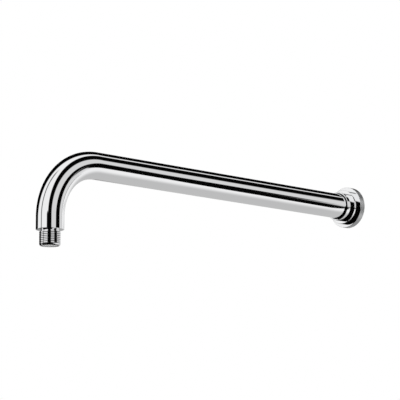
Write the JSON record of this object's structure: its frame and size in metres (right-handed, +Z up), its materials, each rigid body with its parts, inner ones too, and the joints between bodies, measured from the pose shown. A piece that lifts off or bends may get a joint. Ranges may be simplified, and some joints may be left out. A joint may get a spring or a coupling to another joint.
{
  "type": "shower arm",
  "caption": "Round chromed wall shower arm with a right-angle bend, a male pipe thread at each end and a stepped slide-on wall flange.",
  "frame": {"origin": "on the tube's axis, in the plane of the wall's face, where the inlet thread enters the wall", "axes": "+Y into the wall along the straight tube, +Z up, the outlet points down along -Z"},
  "size_m": [0.0464, 0.476, 0.1102],
  "materials": {
    "polished_chrome": "mirror-polished chrome plate on brass",
    "plated_thread": "bright chrome plate on a machined brass thread",
    "ring_rubber": "matt black rubber"
  },
  "bodies": {
    "arm": {"arm_tube": "polished_chrome", "outlet_nipple": "plated_thread", "inlet_nipple": "plated_thread"},
    "flange": {"wall_flange": "polished_chrome", "flange_grip_ring": "ring_rubber"}
  },
  "joints": [
    {"name": "flange_slide", "type": "slide", "parent": "arm", "child": "flange", "axis": [0, -1, 0], "range_m": [0, 0.37]}
  ]
}
